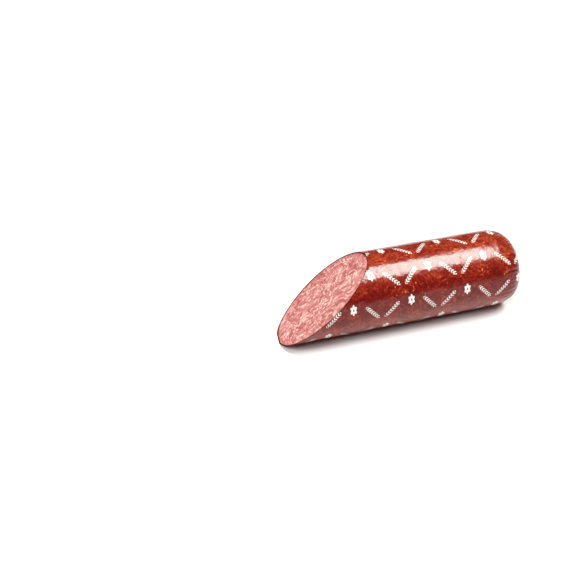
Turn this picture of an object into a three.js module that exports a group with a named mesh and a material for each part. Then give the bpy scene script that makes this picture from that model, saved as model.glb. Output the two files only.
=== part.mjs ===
// Half a stick of cured sausage, lying on its side: cut on the slant at one end, and closed at
// the other, where the printed casing is gathered, crimped by a metal clip and trimmed.
// Millimetres. +X runs along the sausage to its closed end, +Y is across it and +Z is up.

import * as THREE from "three";

// The filled stick: its calibre, and its axis from the cut to the top of the domed end.
const calibre = 60;
const axisLength = 156.7;

// It rests on a narrow strip pressed flat by its weight, this deep into the round.
const footDepth = 0.6;

// The cut is one plane. This is how far it moves along X for each millimetre up and across.
const cutLean = 1.152;
const cutSkew = 0.169;

// The closed end is a squared round, a superellipse, which the gathers pull into a dimple.
const domeLength = 34.7;
const domeExponent = 4;
const dimpleRadius = 16;
const dimpleDepth = 5;

// The casing is a film. The meat stays a little clear of it.
const filmThickness = 0.5;
const clearance = 0.3;

// The film gathers in radial pleats, which twist a little on their way into the clip.
const pleatCount = 24;
const pleatHeight = 0.9;
const pleatTwist = THREE.MathUtils.degToRad(14);
const neckRadius = 3.4;
const neckPleatHeight = 0.5;

// The clip is a bar bent round the neck, and its ends stop this far either side of the top.
const clipWidth = 3;
const clipThickness = 1.8;
const clipOpening = THREE.MathUtils.degToRad(8);

// The film past the clip is trimmed to a short tail, which flares out of the neck and then
// turns in to a hollow end. Each station is a share of the tail's length, of its flare from
// the neck's radius to its own, and of the pleats' height.
const tailLength = 4.6;
const tailRadius = 5.2;
const tailStations = [
  { along: 0, flare: 0, pleat: neckPleatHeight / pleatHeight },
  { along: 0.45, flare: 0.5, pleat: 0.8 },
  { along: 1, flare: 1, pleat: 1 },
  { along: 0.9, flare: 0, pleat: 0 },
];
const tailHollow = 0.8;

// How finely the round surfaces are divided.
const sidesPerPleat = 4;
const flankRows = 2;
const shoulderRows = 10;
const dimpleRows = 4;
const clipSteps = 28;

const radius = calibre / 2;
const axisHeight = radius - footDepth;
const domeStart = axisLength - domeLength;
const sides = pleatCount * sidesPerPleat;

// The end's profile at a radius r, for a surface that lies inside the outer one by an inset.
function endHeight(r, inset) {
  const fall = 1 - (r / (radius - inset)) ** domeExponent;
  const dome = (domeLength - inset) * Math.max(fall, 0) ** (1 / domeExponent);
  const dimple = dimpleDepth * Math.max(1 - (r / dimpleRadius) ** 2, 0) ** 2;
  return domeStart + dome - dimple;
}

// The profile as stations from the shoulder in to the neck, each with an x and an r.
function endStations(inset) {
  const outer = radius - inset;
  const lastAngle = Math.acos((dimpleRadius / outer) ** (domeExponent / 2));
  const stations = [];
  for (let row = 0; row <= shoulderRows; row += 1) {
    const r = outer * Math.cos((lastAngle * row) / shoulderRows) ** (2 / domeExponent);
    stations.push({ x: endHeight(r, inset), r });
  }
  for (let row = 1; row <= dimpleRows; row += 1) {
    const r = THREE.MathUtils.lerp(dimpleRadius, neckRadius, row / dimpleRows);
    stations.push({ x: endHeight(r, inset), r });
  }
  return stations;
}

// One ring of points round the axis. The lowest are pressed level with the foot.
function ring({ x, r }, inset, twist = 0, relief = () => ({ out: 0, along: 0 })) {
  const points = [];
  for (let side = 0; side < sides; side += 1) {
    const angle = (side / sides) * Math.PI * 2;
    const { out, along } = relief(angle);
    const y = (r + out) * Math.cos(angle + twist);
    const z = axisHeight + (r + out) * Math.sin(angle + twist);
    points.push(new THREE.Vector3(x + along, y, Math.max(z, inset)));
  }
  return points;
}

// The rings of the straight flank, from the slanting cut to the start of the dome.
function flankRings(inset) {
  const end = ring({ x: domeStart, r: radius - inset }, inset);
  const cut = end.map((p) => new THREE.Vector3(cutSkew * p.y + cutLean * (p.z - axisHeight), p.y, p.z));
  const rings = [];
  for (let row = 0; row < flankRows; row += 1) {
    rings.push(cut.map((p, side) => p.clone().lerp(end[side], row / flankRows)));
  }
  return rings;
}

// A closed surface: each ring joins the next, and a fan of triangles closes each end at a point.
function closedSurface(firstPoint, rings, lastPoint) {
  const positions = [firstPoint, ...rings.flat(), lastPoint].flatMap((p) => [p.x, p.y, p.z]);
  const last = rings.length * sides + 1;
  const at = (row, side) => 1 + row * sides + (side % sides);
  const index = [];
  for (let side = 0; side < sides; side += 1) {
    index.push(0, at(0, side + 1), at(0, side));
    for (let row = 0; row + 1 < rings.length; row += 1) {
      index.push(at(row, side), at(row, side + 1), at(row + 1, side + 1));
      index.push(at(row, side), at(row + 1, side + 1), at(row + 1, side));
    }
    index.push(at(rings.length - 1, side), at(rings.length - 1, side + 1), last);
  }
  const geometry = new THREE.BufferGeometry();
  geometry.setAttribute("position", new THREE.Float32BufferAttribute(positions, 3));
  geometry.setIndex(index);
  geometry.computeVertexNormals();
  return geometry;
}

// How high the pleats stand at a radius: nothing on the flank, full height near the neck.
function pleatHeightAt(r) {
  const drawnIn = THREE.MathUtils.smoothstep(radius - r, 0, radius - neckRadius);
  const relaxed = THREE.MathUtils.smoothstep(r, neckRadius, dimpleRadius / 2);
  return drawnIn * THREE.MathUtils.lerp(neckPleatHeight, pleatHeight, relaxed);
}

// The rings of the casing's outside past the flank. Each is lifted into pleats square to the profile.
function pleatedRings(stations) {
  return stations.map((station, row) => {
    const before = stations[Math.max(row - 1, 0)];
    const after = stations[Math.min(row + 1, stations.length - 1)];
    const slope = new THREE.Vector2(after.x - before.x, after.r - before.r).normalize();
    const height = station.pleat ?? pleatHeightAt(station.r);
    const twist = pleatTwist * (1 - station.r / radius) ** 2;
    const relief = (angle) => {
      const lift = (height * (1 + Math.cos(pleatCount * angle))) / 2;
      return { out: slope.x * lift, along: -slope.y * lift };
    };
    return ring(station, 0, row === 0 ? 0 : twist, relief);
  });
}

// The meat: a solid core with the cut face, which the film follows all over.
function makeMeat() {
  const inset = filmThickness + clearance;
  const stations = endStations(inset);
  const rings = [...flankRings(inset), ...stations.map((station) => ring(station, inset))];
  const cutMiddle = new THREE.Vector3(0, 0, axisHeight);
  const endMiddle = new THREE.Vector3(endHeight(0, inset), 0, axisHeight);
  const material = new THREE.MeshStandardMaterial({ color: 0xd68f84, roughness: 0.55, metalness: 0 });
  const mesh = new THREE.Mesh(closedSurface(cutMiddle, rings, endMiddle), material);
  mesh.name = "meat";
  return mesh;
}

// Where the parts of the closure lie along X: clear of the pleats beside the clip.
const clipOuterRadius = neckRadius + neckPleatHeight + clearance + clipThickness;
const clipStart = endHeight(clipOuterRadius, 0) + pleatHeight + clearance;
const neckEnd = clipStart + clipWidth + clearance;

// The casing: the film round the meat, open at the cut, gathered at the far end into a neck
// that is packed solid with folds, and flared beyond the clip.
function makeCasing() {
  const insideEnd = endStations(filmThickness).map((station) => ring(station, filmThickness));
  const inside = [...flankRings(filmThickness), ...insideEnd];
  const tail = tailStations.map(({ along, flare, pleat }) => ({
    x: neckEnd + tailLength * along,
    r: THREE.MathUtils.lerp(neckRadius, tailRadius, flare),
    pleat: pleatHeight * pleat,
  }));
  const outside = [...flankRings(0), ...pleatedRings([...endStations(0), ...tail])];
  const innerMiddle = new THREE.Vector3(endHeight(0, filmThickness), 0, axisHeight);
  const tailMiddle = new THREE.Vector3(neckEnd + tailLength * tailHollow, 0, axisHeight);
  const material = new THREE.MeshStandardMaterial({ color: 0x96301f, roughness: 0.22, metalness: 0 });
  const rings = [...inside.reverse(), ...outside];
  const mesh = new THREE.Mesh(closedSurface(innerMiddle, rings, tailMiddle), material);
  mesh.name = "casing";
  return mesh;
}

// The clip: a flat aluminium bar with eased corners, bent round the neck until its ends nearly meet.
function makeClip() {
  const halfWidth = clipWidth / 2;
  const halfThickness = clipThickness / 2;
  const ease = clipThickness / 4;
  const section = new THREE.Shape([
    new THREE.Vector2(-halfWidth + ease, -halfThickness),
    new THREE.Vector2(halfWidth - ease, -halfThickness),
    new THREE.Vector2(halfWidth, -halfThickness + ease),
    new THREE.Vector2(halfWidth, halfThickness - ease),
    new THREE.Vector2(halfWidth - ease, halfThickness),
    new THREE.Vector2(-halfWidth + ease, halfThickness),
    new THREE.Vector2(-halfWidth, halfThickness - ease),
    new THREE.Vector2(-halfWidth, -halfThickness + ease),
  ]);
  const bendRadius = clipOuterRadius - halfThickness;
  const bend = [];
  for (let step = 0; step <= clipSteps; step += 1) {
    const angle = clipOpening + ((Math.PI * 2 - 2 * clipOpening) * step) / clipSteps;
    bend.push(new THREE.Vector3(0, bendRadius * Math.sin(angle), bendRadius * Math.cos(angle)));
  }
  const extrudePath = new THREE.CatmullRomCurve3(bend);
  const geometry = new THREE.ExtrudeGeometry(section, { steps: clipSteps, extrudePath });
  const material = new THREE.MeshStandardMaterial({ color: 0xc9cbcd, roughness: 0.35, metalness: 1 });
  const mesh = new THREE.Mesh(geometry, material);
  mesh.name = "clip";
  mesh.position.set(clipStart + halfWidth, 0, axisHeight);
  return mesh;
}

// Everything is built from the middle of the cut, and then moved so that the origin lies
// under the middle of the whole, on the surface that it rests on.
const sausage = new THREE.Group();
sausage.add(makeMeat(), makeCasing(), makeClip());
const extent = new THREE.Box3().setFromObject(sausage);
sausage.position.x = -(extent.min.x + extent.max.x) / 2;

const part = new THREE.Group();
part.add(sausage);

export default part;
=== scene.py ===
"""Half a stick of cured sausage in its printed casing, on a pale floor under soft studio light."""

import bpy
import numpy as np
from mathutils import Matrix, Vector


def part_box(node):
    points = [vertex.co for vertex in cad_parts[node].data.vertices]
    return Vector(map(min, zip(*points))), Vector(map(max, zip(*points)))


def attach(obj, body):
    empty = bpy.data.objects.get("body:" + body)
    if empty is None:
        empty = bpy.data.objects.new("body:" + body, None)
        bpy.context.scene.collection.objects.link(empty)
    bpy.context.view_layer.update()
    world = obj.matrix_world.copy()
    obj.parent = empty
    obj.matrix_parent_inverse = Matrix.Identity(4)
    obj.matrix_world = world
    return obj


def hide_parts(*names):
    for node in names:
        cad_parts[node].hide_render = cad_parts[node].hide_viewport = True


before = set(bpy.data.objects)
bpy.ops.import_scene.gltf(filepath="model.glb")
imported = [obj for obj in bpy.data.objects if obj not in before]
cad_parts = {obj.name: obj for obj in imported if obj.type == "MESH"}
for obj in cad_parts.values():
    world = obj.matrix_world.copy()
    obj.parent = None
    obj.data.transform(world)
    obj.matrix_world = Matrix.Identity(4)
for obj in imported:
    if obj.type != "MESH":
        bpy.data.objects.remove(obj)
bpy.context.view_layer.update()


# The meat
# Finely ground pork and fat, stuffed hard into a tube of film 60 mm across, smoked and cured.
# A long knife has cut the stick on the slant, so one end is a nearly flat pink oval of grain.
MM = 0.001
film_low, film_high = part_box("casing")
stick_radius = (film_high.y - film_low.y) / 2
axis_height = film_high.z - stick_radius
foot_half_width = (stick_radius**2 - axis_height**2) ** 0.5
cut_lean, cut_skew = 1.152, 0.175
cut_bow, cut_bow_height = 1.3 * MM, 50 * MM
cut_on_axis = film_low.x + cut_lean * axis_height + cut_skew * foot_half_width
axis_length = 156.7 * MM
dome_length = 34.7 * MM
dome_exponent = 4
dome_start = cut_on_axis + axis_length - dome_length
dimple_radius, dimple_depth = 16 * MM, 5 * MM
film_thickness, cling_gap = 0.5 * MM, 0.02 * MM
meat_inset = film_thickness + cling_gap
stick_sides, face_rings, meat_flank_rows = 480, 90, 9
hidden_end = {"last_radius": 2 * MM, "shoulder_rows": 20, "dimple_rows": 6}
relief_height, face_rim_fade = 0.07 * MM, 12


def ripple(points, lengths, waves, seed):
    """Smooth random relief, mostly between -1 and 1: a scaled sum of sine waves in random directions."""
    draw = np.random.default_rng(seed)
    way = draw.normal(size=(waves, 3))
    way /= np.linalg.norm(way, axis=1)[:, None]
    way *= (2 * np.pi / draw.uniform(*lengths, waves))[:, None]
    start = draw.uniform(0, 2 * np.pi, waves)
    total = np.zeros(points.shape[:-1])
    for direction, phase in zip(way, start):
        total += np.sin(points @ direction + phase)
    return total / waves**0.5 / 1.5


def round_angles(sides):
    """Equal steps of angle round the axis, as one row."""
    return np.arange(sides) / sides * 2 * np.pi


def on_axis(x, r, angle, inset=0.0):
    """Points at x and at r from the axis. Where the foot is pressed flat, r ends on its level."""
    below = np.maximum(-np.sin(angle), 1e-6)
    reach = np.minimum(r, np.where(np.sin(angle) < 0, (axis_height - inset) / below, r))
    across, up = reach * np.cos(angle), axis_height + reach * np.sin(angle)
    return np.stack(np.broadcast_arrays(x, across, up), -1)


def cut_plane(points):
    """The cut's x at each point: it leans along the stick, and is turned a little to one side. The
    knife ran out a little as it came down, so the plane bows towards its thin lower edge."""
    low = np.clip(1 - points[..., 2] / cut_bow_height, 0, 1)
    plane = cut_on_axis + cut_skew * points[..., 1] + cut_lean * (points[..., 2] - axis_height)
    return plane - cut_bow * low**1.5


def end_height(r, inset):
    """The domed end's x at r: a superellipse, less the dimple that the gathers pull into it."""
    fall = np.clip(1 - (r / (stick_radius - inset)) ** dome_exponent, 0, None)
    dimple = dimple_depth * np.clip(1 - (r / dimple_radius) ** 2, 0, None) ** 2
    return dome_start + (dome_length - inset) * fall ** (1 / dome_exponent) - dimple


def end_radii(inset, last_radius, shoulder_rows, dimple_rows):
    """Radii from the flank in to last_radius: even steps of angle on the shoulder, then of radius."""
    outer = stick_radius - inset
    last_angle = np.arccos((dimple_radius / outer) ** (dome_exponent / 2))
    shoulder = outer * np.cos(np.linspace(0, last_angle, shoulder_rows)) ** (2 / dome_exponent)
    return np.concatenate([shoulder, np.linspace(dimple_radius, last_radius, dimple_rows + 1)[1:]])


def flank(inset, rows, angle, lip=0.0):
    """Rings from the cut, or a lip past it, to the dome, evenly spaced along each line of the flank."""
    end = on_axis(dome_start, stick_radius - inset, angle, inset)
    cut = end.copy()
    cut[..., 0] = cut_plane(end) - lip
    share = np.linspace(0, 1, rows, endpoint=False)[:, None, None]
    return cut * (1 - share) + end * share


def closed_mesh(name, first, rings, last, along, sharp_angle):
    """A mesh of rings of points, with a fan to a point at each end. On its map, the second coordinate
    is the share of the way round, and the first is along: a number for the first point, one for each
    ring or for each of its points, and one for the last point."""
    rows, sides = rings.shape[:2]
    points = np.concatenate([[first], rings.reshape(-1, 3), [last]])
    side = np.arange(sides)
    after = (side + 1) % sides
    row = 1 + np.arange(rows - 1)[:, None] * sides
    tip = 1 + (rows - 1) * sides
    first_fan = np.stack([np.zeros(sides, int), 1 + after, 1 + side], -1)
    quads = np.stack([row + side, row + after, row + sides + after, row + sides + side], -1)
    last_fan = np.stack([tip + side, tip + after, np.full(sides, len(points) - 1)], -1)
    mesh = bpy.data.meshes.new(name)
    mesh.from_pydata(points, [], first_fan.tolist() + quads.reshape(-1, 4).tolist() + last_fan.tolist())
    ring_along = np.broadcast_to(np.reshape(along[1], (rows, -1)), (rows, sides))
    point_along = np.concatenate([[along[0]], ring_along.ravel(), [along[2]]])
    corner_point = np.concatenate([first_fan.ravel(), quads.ravel(), last_fan.ravel()])
    turn, next_turn = side / sides, (side + 1) / sides
    fan_turn = np.stack([turn, next_turn, turn], -1).ravel()
    quad_turn = np.tile(np.stack([turn, next_turn, next_turn, turn], -1).ravel(), rows - 1)
    wrap = np.stack([point_along[corner_point], np.concatenate([fan_turn, quad_turn, fan_turn])], -1)
    mesh.uv_layers.new(name="wrap").data.foreach_set("uv", wrap.ravel())
    mesh.shade_smooth()
    mesh.set_sharp_from_angle(angle=np.radians(sharp_angle))
    piece = bpy.data.objects.new(name, mesh)
    bpy.context.scene.collection.objects.link(piece)
    return piece


class Value:
    """A number or colour in a finish. An expression on values adds the Math nodes that work it out."""

    def __init__(self, finish, socket):
        self.finish, self.socket = finish, socket

    def math(self, operation, *others):
        inputs = dict(enumerate([self, *others]))
        return self.finish.make("ShaderNodeMath", {"operation": operation}, inputs)

    def __add__(self, other):
        return self.math("ADD", other)

    def __mul__(self, other):
        return self.math("MULTIPLY", other)

    def __sub__(self, other):
        return self.math("SUBTRACT", other)

    def __truediv__(self, other):
        return self.math("DIVIDE", other)

    def __rsub__(self, other):
        return self * -1 + other

    __radd__, __rmul__ = __add__, __mul__

    def ease(self, low, high):
        """0 below low and 1 above high, with a smooth step between them."""
        settings = {"interpolation_type": "SMOOTHSTEP"}
        return self.finish.make("ShaderNodeMapRange", settings, {0: self, 1: low, 2: high})


class Finish:
    """A material. make() adds a node: first its settings, then the values or links of its sockets."""

    def __init__(self, name):
        self.material = bpy.data.materials.new(name)
        self.material.use_nodes = True
        self.tree = self.material.node_tree
        self.shader = self.tree.nodes["Principled BSDF"]

    def fill(self, socket, value):
        if isinstance(value, Value):
            self.tree.links.new(value.socket, socket)
        else:
            socket.default_value = value

    def make(self, kind, settings, inputs, output=0):
        node = self.tree.nodes.new(kind)
        for name, value in settings.items():
            if name == "stops":
                for place, _ in value[1:-1]:
                    node.color_ramp.elements.new(place)
                for element, (place, colour) in zip(node.color_ramp.elements, value):
                    element.position, element.color = place, (*colour, 1)
            else:
                setattr(node, name, value)
        for key, value in inputs.items():
            self.fill(node.inputs[key], value)
        return Value(self, node.outputs[output])

    def mix(self, share, low, high):
        """A colour from low to high as share goes from 0 to 1."""
        low, high = [colour if isinstance(colour, Value) else (*colour, 1) for colour in (low, high)]
        return self.make("ShaderNodeMix", {"data_type": "RGBA"}, {0: share, 6: low, 7: high}, 2)

    def noise(self, place, size, detail=2.0, roughness=0.5, output=0):
        """Cloudy noise whose blobs are about size across."""
        inputs = {"Vector": place, "Scale": 1 / size, "Detail": detail, "Roughness": roughness}
        return self.make("ShaderNodeTexNoise", {}, inputs, output)

    def vector(self, operation, first, second):
        """A sum, difference or product of two vectors."""
        return self.make("ShaderNodeVectorMath", {"operation": operation}, {0: first, 1: second})

    def warped(self, place, size, amount):
        """The place pushed about by noise with blobs about size across."""
        push = self.vector("SUBTRACT", self.noise(place, size, detail=1.0, output=1), (0.5, 0.5, 0.5))
        return self.vector("ADD", place, self.vector("MULTIPLY", push, (amount * 2,) * 3))

    def stretched(self, place, factors):
        """The place with each axis scaled: a pattern there is drawn out along an axis of factor < 1."""
        return self.vector("MULTIPLY", place, factors)

    def crumbs(self, place, size, softness, output=0):
        """Random particles about size across: the cells of a Voronoi pattern with blended edges."""
        settings = {"feature": "SMOOTH_F1"}
        inputs = {"Vector": place, "Scale": 1 / size, "Smoothness": softness}
        return self.make("ShaderNodeTexVoronoi", settings, inputs, output)

    def part_of(self, colour, channel):
        """One channel of a colour, as a number."""
        return self.make("ShaderNodeSeparateColor", {}, {0: colour}, channel)

    def bump(self, height, distance, strength):
        """Lets a height, in units of distance, tilt the surface."""
        inputs = {"Strength": strength, "Distance": distance, "Height": height}
        self.set(Normal=self.make("ShaderNodeBump", {}, inputs))

    def set(self, **sockets):
        for name, value in sockets.items():
            self.fill(self.shader.inputs[name.replace("_", " ")], value)


swirl_size, swirl_reach = 16 * MM, 9 * MM
curl_size, curl_reach = 3 * MM, 0.8 * MM
streak_width, particle_size, speck_size = 1.45 * MM, 2.0 * MM, 1.5 * MM


def meat_grain(finish, place):
    """How pale the ground meat is at a place, about 0 to 1. Stuffing has stirred it into curved
    streaks: noise and particles, each drawn out in a space that a larger noise bends."""
    stirred = finish.warped(place, swirl_size, swirl_reach)
    streaks = finish.noise(finish.stretched(stirred, (1, 1, 0.3)), streak_width, roughness=0.6)
    drawn = finish.stretched(finish.warped(stirred, curl_size, curl_reach), (0.4, 1, 1))
    particles = finish.part_of(finish.crumbs(drawn, particle_size, softness=0.2, output=1), 0)
    specks = finish.part_of(finish.crumbs(place, speck_size, softness=0.2, output=1), 1)
    return (streaks - 0.5) * 1.65 + (particles - 0.5) * 0.5 + (specks - 0.5) * 0.2 + 0.5


angles = round_angles(stick_sides)
face_share = np.linspace(0, 1, face_rings + 1)[1:]
rim = on_axis(0.0, stick_radius - meat_inset, angles, meat_inset)
middle = np.array([cut_on_axis, 0.0, axis_height])
face = middle + (rim - middle) * face_share[:, None, None]
face[..., 0] = cut_plane(face)
face_normal = np.array([-1.0, cut_skew, cut_lean])
face_normal /= np.linalg.norm(face_normal)
face_relief = ripple(face, lengths=(2.5 * MM, 9 * MM), waves=60, seed=11) * relief_height
face_relief *= np.clip((1 - face_share) * face_rim_fade, 0, 1)[:, None]
face += face_relief[..., None] * face_normal
meat_radii = end_radii(meat_inset, **hidden_end)
meat_end = on_axis(end_height(meat_radii, meat_inset)[:, None], meat_radii[:, None], angles, meat_inset)
meat_rings = np.concatenate([face, flank(meat_inset, meat_flank_rows, angles)[1:], meat_end])
meat_tip = (end_height(0.0, meat_inset), 0.0, axis_height)
rows_past_face = len(meat_rings) - face_rings
meat_along = (0, np.concatenate([face_share * 0.5, np.linspace(0.52, 1, rows_past_face)]), 1)
face_middle = face[0].mean(0)
meat = closed_mesh("meat_core", face_middle, meat_rings, meat_tip, meat_along, sharp_angle=40)

pink = Finish("cut_meat")
place = pink.make("ShaderNodeTexCoord", {}, {}, "Object")
grain = meat_grain(pink, place)
grain_stops = [
    (0.10, (0.362, 0.087, 0.082)),
    (0.36, (0.492, 0.151, 0.140)),
    (0.52, (0.583, 0.213, 0.195)),
    (0.70, (0.706, 0.360, 0.313)),
    (0.92, (0.842, 0.617, 0.531)),
]
smoke_reach, smoke_dark, smoked_brown = 2.2 * MM, 0.4 * MM, (0.44, 0.113, 0.095)
leaner = pink.noise(place, 7.5 * MM, detail=1.0)
paleness = grain + (leaner - 0.5) * 0.55
colour = pink.make("ShaderNodeValToRGB", {"stops": grain_stops}, {0: paleness})
centred = pink.make("ShaderNodeMapping", {"vector_type": "TEXTURE"}, {0: place, 1: (0, 0, axis_height)})
height, across = [pink.make("ShaderNodeSeparateXYZ", {}, {0: centred}, channel) for channel in (2, 1)]
from_axis = (height * height + across * across).math("SQRT")
smoked = from_axis.ease(stick_radius - smoke_reach, stick_radius - smoke_dark)
colour = pink.mix(smoked * 0.6, colour, smoked_brown)
pink.set(Base_Color=colour, Roughness=0.42)
pink.bump(grain, distance=0.25 * MM, strength=0.5)
meat.data.materials.append(pink.material)
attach(meat, "root")
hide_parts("meat")


# The casing
# A glossy clear film, printed in white, which clings to the dark red outside of the meat. At the
# closed end it is drawn together in pleats, squeezed into a neck and trimmed to a short tail.
clip_low, clip_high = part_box("clip")
neck_radius = 3.4 * MM
neck_start = end_height(neck_radius, 0.0)
clip_clearance = 0.3 * MM
neck_end = clip_high.x + clip_clearance
tail_length = film_high.x - neck_end
tail_radius, tail_core = 5.2 * MM, 1.5 * MM
pleat_count = 24
pleat_height, neck_pleat_height = 0.9 * MM, 0.5 * MM
pleat_twist = np.radians(14)
wrinkle_height = 0.34 * MM
end_sag = 1.2 * MM
pressed_height = 4 * MM
flank_rows, inside_flank_rows = 60, 3
ragged_lip = (0.55 + 0.22 * np.sin(2 * angles + 0.6) + 0.12 * np.sin(5 * angles + 2.0)) * MM


def smooth(value, low, high):
    """0 below low and 1 above high, with a smooth step between them."""
    share = np.clip((value - low) / (high - low), 0, 1)
    return share * share * (3 - 2 * share)


def pleat_folds(angle):
    """The pleats' height round the end, from 0 to 1: uneven cosine folds with a finer set between."""
    drift = 0.035 * np.sin(3 * angle + 1.0) + 0.03 * np.sin(5 * angle + 2.2) + 0.012 * np.sin(11 * angle)
    uneven = angle + drift
    main = (0.5 + 0.5 * np.cos(pleat_count * uneven)) ** 1.4
    fine = (0.5 + 0.5 * np.cos(2.5 * pleat_count * uneven + 0.6)) ** 2
    weight = 0.78 + 0.22 * np.sin(4 * angle + 0.7) * np.sin(7 * angle + 2.0)
    return main * weight + 0.22 * fine


def shoulder_wrinkles(angle, share):
    """Fine wrinkles where the film starts to gather: cosine folds that start at uneven distances."""
    drift = 0.05 * np.sin(3 * angle + 0.4) + 0.03 * np.sin(8 * angle + 1.9) + 0.05 * share
    folds = (0.5 + 0.5 * np.cos(56 * (angle + drift))) ** 1.5
    between = (0.5 + 0.5 * np.cos(83 * (angle - drift) + 1.1)) ** 2
    start = 0.22 + 0.16 * np.sin(9 * angle + 0.8) * np.sin(4 * angle + 2.5) + 0.06 * np.sin(23 * angle)
    return (folds * 0.7 + between * 0.3) * smooth(share, start, start + 0.5)


end_r = end_radii(0.0, neck_radius, shoulder_rows=56, dimple_rows=22)
end_x = end_height(end_r, 0.0)
drawn_in = smooth(stick_radius - end_r, 0.0, stick_radius - neck_radius)
relaxed = smooth(end_r, neck_radius, dimple_radius / 2)
end_pleat = drawn_in * (neck_pleat_height + (pleat_height - neck_pleat_height) * relaxed)
tail_share = np.array([0.0, 0.1, 0.25, 0.45, 0.65, 0.85, 0.97, 1.0, 0.95, 0.8, 0.62])
tail_flare = np.array([0.0, 0.05, 0.2, 0.5, 0.78, 0.95, 1.0, 0.9, 0.6, 0.1, -0.5])
neck_x = np.linspace(neck_start, neck_end, 5)[1:-1]
tail_r = neck_radius + (tail_radius - neck_radius) * tail_flare
profile_x = np.concatenate([end_x, neck_x, neck_end + tail_length * tail_share])
profile_r = np.concatenate([end_r, np.full_like(neck_x, neck_radius), tail_r])
tail_pleat = np.interp(tail_share, [0, 0.45, 1], [neck_pleat_height, 0.8 * pleat_height, pleat_height])
tail_pleat *= np.clip((tail_r - tail_core) / (neck_radius - tail_core), 0, 1)
profile_pleat = np.concatenate([end_pleat, np.full_like(neck_x, neck_pleat_height), tail_pleat])
slope_x, slope_r = np.gradient(profile_x), np.gradient(profile_r)
slope = np.hypot(slope_x, slope_r)
twist = pleat_twist * (1 - profile_r / stick_radius) ** 2
lift = profile_pleat[:, None] * pleat_folds(angles)
dome_share = np.clip((profile_x - dome_start) / dome_length, 0, 1)[:, None]
wrinkled = wrinkle_height * smooth(profile_r, dimple_radius * 0.6, dimple_radius * 1.3)[:, None]
lift += wrinkled * shoulder_wrinkles(angles, dome_share)
lift_r, lift_x = lift * (slope_x / slope)[:, None], -lift * (slope_r / slope)[:, None]
underside = smooth(-np.sin(angles), -0.2, 0.9)
sag = end_sag * dome_share * underside * smooth(profile_r, 0, stick_radius)[:, None]
end_x_sagging = profile_x[:, None] + lift_x + sag
end_rings = on_axis(end_x_sagging, profile_r[:, None] + lift_r, angles + twist[:, None])
outside = np.concatenate([flank(0.0, flank_rows, angles, ragged_lip), end_rings])
away = outside - [0, 0, axis_height]
away[..., 0] = 0
away /= np.linalg.norm(away, axis=-1)[..., None]
unevenness = ripple(outside, lengths=(7 * MM, 30 * MM), waves=40, seed=5) * relief_height
unevenness *= smooth(outside[..., 2], 0.0, pressed_height)
outside += unevenness[..., None] * away
inside_radii = end_radii(film_thickness, **hidden_end)
inside_x = end_height(inside_radii, film_thickness)
inside_end = on_axis(inside_x[:, None], inside_radii[:, None], angles, film_thickness)
inside_flank = flank(film_thickness, inside_flank_rows, angles, ragged_lip)
inside = np.concatenate([inside_flank, inside_end])[::-1]
film_rings = np.concatenate([inside, outside])
inside_tip = (end_height(0.0, film_thickness), 0.0, axis_height)
tail_hollow = (neck_end + 0.45 * tail_length, 0.0, axis_height)

# The map's first coordinate is the way along the film from the cut's lowest point, over the shoulder
# and down the tail, where it reaches print_share. The rest of the map is the film's bare inside.
step = np.hypot(np.diff(profile_x), np.diff(profile_r))
flank_length = dome_start - film_low.x
film_length = flank_length + step.sum()
print_share, cut_edge_share, inside_share = 0.9, 0.925, 0.93
flank_along = (outside[:flank_rows, :, 0] - film_low.x) / film_length
end_along = (flank_length + np.concatenate([[0], np.cumsum(step)])) / film_length
end_along = np.broadcast_to(end_along[:, None], end_rings.shape[:2])
inside_along = np.broadcast_to(np.linspace(1, inside_share, len(inside))[:, None], inside.shape[:2])
rings_along = np.concatenate([inside_along, flank_along * print_share, end_along * print_share])
film_along = (1, rings_along, print_share)
casing = closed_mesh("casing_film", inside_tip, film_rings, tail_hollow, film_along, sharp_angle=50)

# The film's cut edge joins its inside to its outside in one row of faces, which stays bare too.
wrap = np.empty(len(casing.data.loops) * 2)
casing.data.uv_layers["wrap"].data.foreach_get("uv", wrap)
cut_edge = stick_sides * (3 + 4 * (len(inside) - 1))
wrap.reshape(-1, 2)[cut_edge : cut_edge + stick_sides * 4, 0] = cut_edge_share
casing.data.uv_layers["wrap"].data.foreach_set("uv", wrap)

# The print repeats round the film in rows, each moved along from the last, so that it climbs in a
# helix: a rosette, then two ears of wheat that slant opposite ways.
print_rows, repeat = 8, 46 * MM
row_step = 3 / 8
row_height = 2 * np.pi * stick_radius / print_rows
print_turn = 0.95
print_edge, print_shadow_offset = 0.15 * MM, 0.5 * MM
ear_centres, ear_slant, ear_drop = (0.5, 0.833), np.radians(46), 2 * MM
ear_half_length, ear_half_width, ear_taper = 8.4 * MM, 1.55 * MM, 2.0 * MM
kernel_pitch, kernel_share, kernel_lean, kernel_edge = 2.2 * MM, 0.62, 0.8, 0.08
rosette_centre, rosette_rise = 0.167, 3 * MM
rosette_half_width, rosette_half_height = 2.9 * MM, 4.6 * MM
petals, petal_depth, petal_edge = 6, 0.14, 0.06


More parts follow.
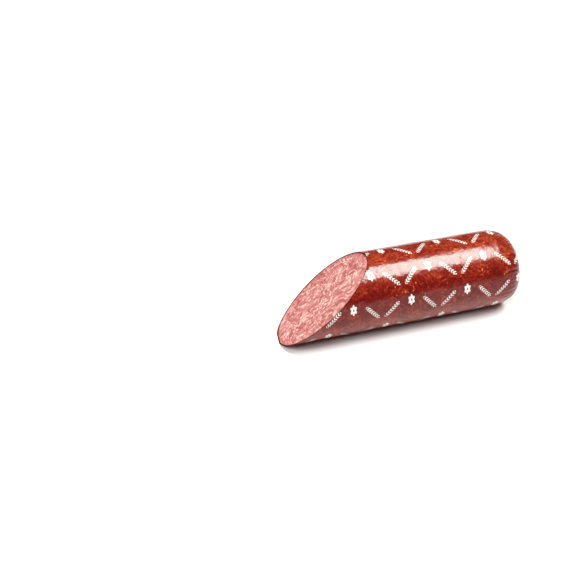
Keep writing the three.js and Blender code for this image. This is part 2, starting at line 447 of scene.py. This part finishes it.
def print_mask(finish, along, around):
    """1 where the film is printed. along is in metres, and around goes from 0 to 1. An ear is a tapering
    band cut into chevrons, and a rosette is an oval whose edge is a cosine, with an eye left open."""
    rows_round = (around + print_turn) * print_rows
    row = rows_round.math("FLOOR")
    down = (rows_round.math("FRACT") - 0.5) * row_height
    local = (along / repeat + row * row_step).math("FRACT") * repeat
    total = None
    for centre, way in zip(ear_centres, (1, -1)):
        across = local - centre * repeat
        dropped = down - ear_drop
        length = across * np.cos(ear_slant) + dropped * (way * np.sin(ear_slant))
        height = (dropped * np.cos(ear_slant) - across * (way * np.sin(ear_slant))).math("ABSOLUTE")
        kernel = ((length - height * kernel_lean) / kernel_pitch).math("FRACT")
        kernels = kernel.ease(0.0, kernel_edge) * (kernel_share - kernel).ease(0.0, kernel_edge)
        taper = (ear_half_length - length.math("ABSOLUTE")).ease(0, ear_taper)
        ear = kernels * (taper * ear_half_width - height).ease(0, print_edge)
        total = ear if total is None else total.math("MAXIMUM", ear)
    across = (local - rosette_centre * repeat) / rosette_half_width
    upward = (down + rosette_rise) / rosette_half_height
    turn = across.math("ARCTAN2", upward)
    radius = (across * across + upward * upward).math("SQRT")
    outline = (turn * petals).math("COSINE") * petal_depth + (1 - petal_depth)
    rosette = (outline - radius).ease(0, petal_edge) * radius.ease(0.14, 0.22)
    return total.math("MAXIMUM", rosette)


film = Finish("printed_film")
place = film.make("ShaderNodeTexCoord", {}, {}, "Object")
wrap_uv = film.make("ShaderNodeUVMap", {"uv_map": "wrap"}, {})
along, around = [film.make("ShaderNodeSeparateXYZ", {}, {0: wrap_uv}, channel) for channel in (0, 1)]
along = along * (film_length / print_share)
grain = meat_grain(film, place)
patches = film.noise(place, 15 * MM)
tone_stops = [
    (0.20, (0.087, 0.0034, 0.0029)),
    (0.45, (0.115, 0.0050, 0.0038)),
    (0.65, (0.174, 0.0110, 0.0061)),
    (0.90, (0.286, 0.0385, 0.0145)),
]
fat_orange, fat_speck_orange = (0.42, 0.073, 0.019), (0.54, 0.165, 0.054)
print_white, print_shadow, inside_red_and_edge_shade = (0.80, 0.745, 0.69), (0.03, 0.003, 0.002), (0.07, 0.012, 0.010)
fat_speck_size = 2.3 * MM
painted_shade_height, top_light_reach, low_light_reach = 38 * MM, 18 * MM, 26 * MM

# The meat under the film is painted darkest partway up the flank and redder above and below it: painted
# shade in the middle, and painted light on top, where the overhead light falls, and low down. Its fat
# shows through in patches, as blotches and as orange specks, painted stronger towards the top as top
# light.
height = film.make("ShaderNodeSeparateXYZ", {}, {0: place}, 2)
painted_top_light = height.ease(painted_shade_height, painted_shade_height + top_light_reach)
painted_low_light = (painted_shade_height - height).ease(0, low_light_reach)
tone_and_painted_light = grain * 0.5 + patches * 0.5 + painted_top_light * 0.24 + painted_low_light * 0.28
red_with_painted_light = film.make("ShaderNodeValToRGB", {"stops": tone_stops}, {0: tone_and_painted_light})
fatty = film.noise(place, 11 * MM, detail=1.0).ease(0.51, 0.65)
# The fat's patches are painted stronger towards the top: painted top light.
fat_and_painted_top_light = (fatty * 0.94 + 0.06) * (height.ease(8 * MM, 58 * MM) * 0.7 + 0.35) + painted_top_light * 0.2
blotches = grain.ease(0.60, 0.85) * fat_and_painted_top_light
mottled = film.mix(blotches * 0.45, red_with_painted_light, fat_orange)
crumbled = film.warped(place, size=2.5 * MM, amount=0.8 * MM)
near_speck = film.crumbs(crumbled, fat_speck_size, softness=0.1)
chosen = film.part_of(film.crumbs(crumbled, fat_speck_size, softness=0.0, output=1), 0)
specks = (0.40 - near_speck).ease(0.0, 0.22) * chosen.ease(0.71, 0.77) * fat_and_painted_top_light
under_film = film.mix(specks * 0.8, mottled, fat_speck_orange)

# The print is on the outside of the clear film, and a painted shadow of it darkens the meat, a little to
# one side.
shadow_turn = print_shadow_offset / (2 * np.pi * stick_radius)
shadow = print_mask(film, along - print_shadow_offset, around + shadow_turn)
shaded = film.mix(shadow * 0.7, under_film, print_shadow)
ink = print_mask(film, along, around)
# The film's bare inside and its cut edge are painted a very dark red: partly the film's own colour,
# partly painted shade where the thin edge lies in shadow.
inside_and_edge_shade = (along - film_length).ease(0, MM)
printed = film.mix(ink * (1 - inside_and_edge_shade) * 0.9, shaded, print_white)
colour = film.mix(inside_and_edge_shade * 0.8, printed, inside_red_and_edge_shade)
film.set(Base_Color=colour, Roughness=0.15, IOR=1.40)
pimples = film.noise(place, 1.6 * MM) + film.noise(place, 4.5 * MM, detail=1.0) * 1.5
film.bump(pimples, distance=0.12 * MM, strength=1.0)
casing.data.materials.append(film.material)
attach(casing, "root")
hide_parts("casing")


# The clip
# A flat bar of soft aluminium, bent round the neck by the clipping machine and squeezed until its
# ends nearly meet. The neck bulges out on both sides of it.
clip_middle = (clip_low.x + clip_high.x) / 2
clip_half_width = (clip_high.x - clip_low.x) / 2
clip_half_thickness = 0.9 * MM
bend_radius = (clip_high.y - clip_low.y) / 2 - clip_half_thickness
clip_opening = np.radians(8)
clip_steps, section_sides = 90, 32
corner_exponent = 5
end_round = 0.6 * MM


def squared(wave):
    """A cosine or sine made squarer, so that a round section becomes a bar with eased corners."""
    return np.sign(wave) * np.abs(wave) ** (2 / corner_exponent)


turn = np.linspace(0, 1, clip_steps)
bend_angle = clip_opening + turn * 2 * (np.pi - clip_opening)
to_end = np.minimum(turn, 1 - turn) * 2 * (np.pi - clip_opening) * bend_radius
taper = np.sqrt(1 - np.clip(1 - to_end / end_round, 0, 0.97) ** 2)
section = -round_angles(section_sides)
pressed = 1 + 0.05 * np.cos(5 * bend_angle)
along_axis = clip_middle + clip_half_width * (taper[:, None] * squared(np.cos(section)))
outward = bend_radius + clip_half_thickness * (taper * pressed)[:, None] * squared(np.sin(section))
across = outward * np.sin(bend_angle)[:, None]
upward = axis_height + outward * np.cos(bend_angle)[:, None]
clip_rings = np.stack([along_axis, across, upward], -1)
clip_ends = clip_rings[[0, -1]].mean(1)
clip = closed_mesh("closing_clip", clip_ends[0], clip_rings, clip_ends[1], (0, turn, 1), sharp_angle=50)

metal = Finish("clip_aluminium")
place = metal.make("ShaderNodeTexCoord", {}, {}, "Object")
scuffs = metal.noise(place, 0.5 * MM, detail=3.0, roughness=0.6)
metal.set(Base_Color=metal.mix(scuffs, (0.62, 0.63, 0.64), (0.86, 0.86, 0.87)), Metallic=1.0)
metal.set(Roughness=scuffs * 0.25 + 0.2)
metal.bump(scuffs, distance=0.05 * MM, strength=0.5)
clip.data.materials.append(metal.material)
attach(clip, "root")
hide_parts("clip")


# The studio
# A white floor, an oblong light overhead that makes the long highlight on the film, a broad soft one
# from the cut side, and the camera at the photograph's viewing angle.
floor_half_width = 6.0
floor_mesh = bpy.data.meshes.new("floor")
square = ((-1, -1), (1, -1), (1, 1), (-1, 1))
floor_corners = [(x * floor_half_width, y * floor_half_width, 0) for x, y in square]
floor_mesh.from_pydata(floor_corners, [], [(0, 1, 2, 3)])
floor = bpy.data.objects.new("floor", floor_mesh)
bpy.context.scene.collection.objects.link(floor)
white = Finish("white_floor")
white.set(Base_Color=(0.73, 0.73, 0.73, 1), Roughness=0.9, Specular_IOR_Level=0.0)
floor_mesh.materials.append(white.material)


def soft_sun(name, towards, width, strength):
    """A far light whose disc is width degrees across, seen from the object in the direction towards."""
    light = bpy.data.lights.new(name, "SUN")
    light.energy, light.angle = strength, np.radians(width)
    lamp = bpy.data.objects.new(name, light)
    back = np.array(towards) / np.linalg.norm(towards)
    lamp.rotation_euler = (np.arccos(back[2]), 0, np.arctan2(back[0], -back[1]))
    bpy.context.scene.collection.objects.link(lamp)


def softbox(name, towards, distance, degrees_along, degrees_across, strength, colour):
    """A far oblong light. Seen from the object it is so many degrees along the stick and across it."""
    light = bpy.data.lights.new(name, "AREA")
    light.shape = "RECTANGLE"
    light.size = 2 * distance * np.tan(np.radians(degrees_along / 2))
    light.size_y = 2 * distance * np.tan(np.radians(degrees_across / 2))
    light.energy, light.color = 4 * strength * distance**2, colour
    back = np.array(towards) / np.linalg.norm(towards)
    along_stick = np.array([1, 0, 0]) - back * back[0]
    along_stick /= np.linalg.norm(along_stick)
    lamp = bpy.data.objects.new(name, light)
    lamp.location = back * distance
    across_stick = np.cross(back, along_stick)
    lamp.rotation_euler = Matrix(np.stack([along_stick, across_stick, back], 1)).to_euler()
    bpy.context.scene.collection.objects.link(lamp)


softbox(
    "overhead_softbox",
    towards=(0.405, -0.135, 0.905),
    distance=10.0,
    degrees_along=15,
    degrees_across=33.5,
    strength=3.3,
    colour=(1.0, 0.99, 0.95),
)
soft_sun("front_softbox", towards=(-0.45, -0.36, 0.82), width=40, strength=2.7)
world = bpy.data.worlds.new("studio")
world.use_nodes = True
world.node_tree.nodes["Background"].inputs["Color"].default_value = (1, 1, 1, 1)
world.node_tree.nodes["Background"].inputs["Strength"].default_value = 0.06
bpy.context.scene.world = world
bpy.context.scene.view_settings.view_transform = "Standard"

camera_place = np.array([-0.2680, -0.5323, 0.4159])
looks_at = np.array([-0.0712, 0.0686, 0.0])
focal_length, sensor_width = 57.81, 36.0
camera_data = bpy.data.cameras.new("camera")
camera_data.lens, camera_data.sensor_width = focal_length, sensor_width
camera_data.clip_start = 0.01
camera = bpy.data.objects.new("camera", camera_data)
sight = looks_at - camera_place
tilt = np.arctan2(np.hypot(sight[0], sight[1]), -sight[2])
camera.location = camera_place
camera.rotation_euler = (tilt, 0, np.arctan2(-sight[0], sight[1]))
bpy.context.scene.collection.objects.link(camera)
bpy.context.scene.camera = camera
